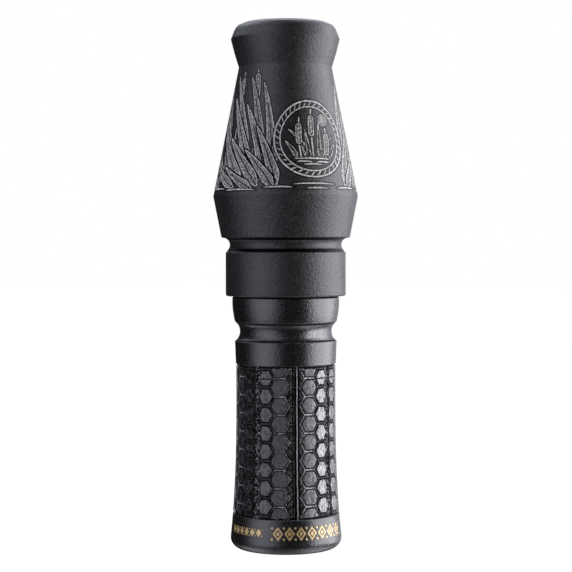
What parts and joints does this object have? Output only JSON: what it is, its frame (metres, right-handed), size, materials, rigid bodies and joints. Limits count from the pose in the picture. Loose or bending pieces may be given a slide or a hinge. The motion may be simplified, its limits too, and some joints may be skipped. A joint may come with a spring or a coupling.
{
  "type": "goose call",
  "caption": "Short-reed goose call: lipped conical barrel on a waisted insert with a honeycomb grip and flared exhaust end; O-rings seat the barrel and the removable guts.",
  "frame": {"origin": "centre of the flat rest ring at the insert's exhaust end", "axes": "+Z along the call, from the exhaust end up through the mouthpiece; +Y towards the tone board's back; the reed faces -Y"},
  "size_m": [0.0402, 0.0402, 0.146],
  "materials": {
    "barrel_polymer": "satin black turned polymer with a laser-etched light grey motif",
    "insert_polymer": "satin black turned polymer, engraved honeycomb grip, gold-filled ornament on the base band",
    "ring_rubber": "matt black nitrile",
    "gut_polymer": "machined ivory polymer",
    "reed_film": "clear polyester film",
    "wedge_rubber": "firm dark red rubber"
  },
  "bodies": {
    "insert": {"insert": "insert_polymer"},
    "tenon_orings": {"tenon_oring_lower": "ring_rubber", "tenon_oring_upper": "ring_rubber"},
    "barrel": {"barrel": "barrel_polymer"},
    "gut_orings": {"gut_oring_lower": "ring_rubber", "gut_oring_upper": "ring_rubber"},
    "guts": {"gut_body": "gut_polymer"},
    "reed": {"reed": "reed_film"},
    "wedge": {"wedge": "wedge_rubber"}
  },
  "joints": [
    {"name": "barrel_twist", "type": "hinge", "parent": "insert", "child": "tenon_orings", "pos_m": [0, 0, 0.082], "axis": [0, 0, 1], "continuous": true},
    {"name": "barrel_pull", "type": "slide", "parent": "tenon_orings", "child": "barrel", "axis": [0, 0, 1], "range_m": [0, 0.1]},
    {"name": "guts_pull", "type": "slide", "parent": "insert", "child": "gut_orings", "axis": [0, 0, 1], "range_m": [0, 0.03]},
    {"name": "guts_twist", "type": "hinge", "parent": "gut_orings", "child": "guts", "pos_m": [0, 0, 0.0785], "axis": [0, 0, 1], "continuous": true},
    {"name": "wedge_pull", "type": "slide", "parent": "guts", "child": "wedge", "axis": [0, 0, 1], "range_m": [0, 0.014]},
    {"name": "reed_flex", "type": "hinge", "parent": "guts", "child": "reed", "pos_m": [0, -0.00047, 0.103], "axis": [1, 0, 0], "range_deg": [-2.2, 0], "stiffness_Nm_per_rad": 0.0144}
  ]
}
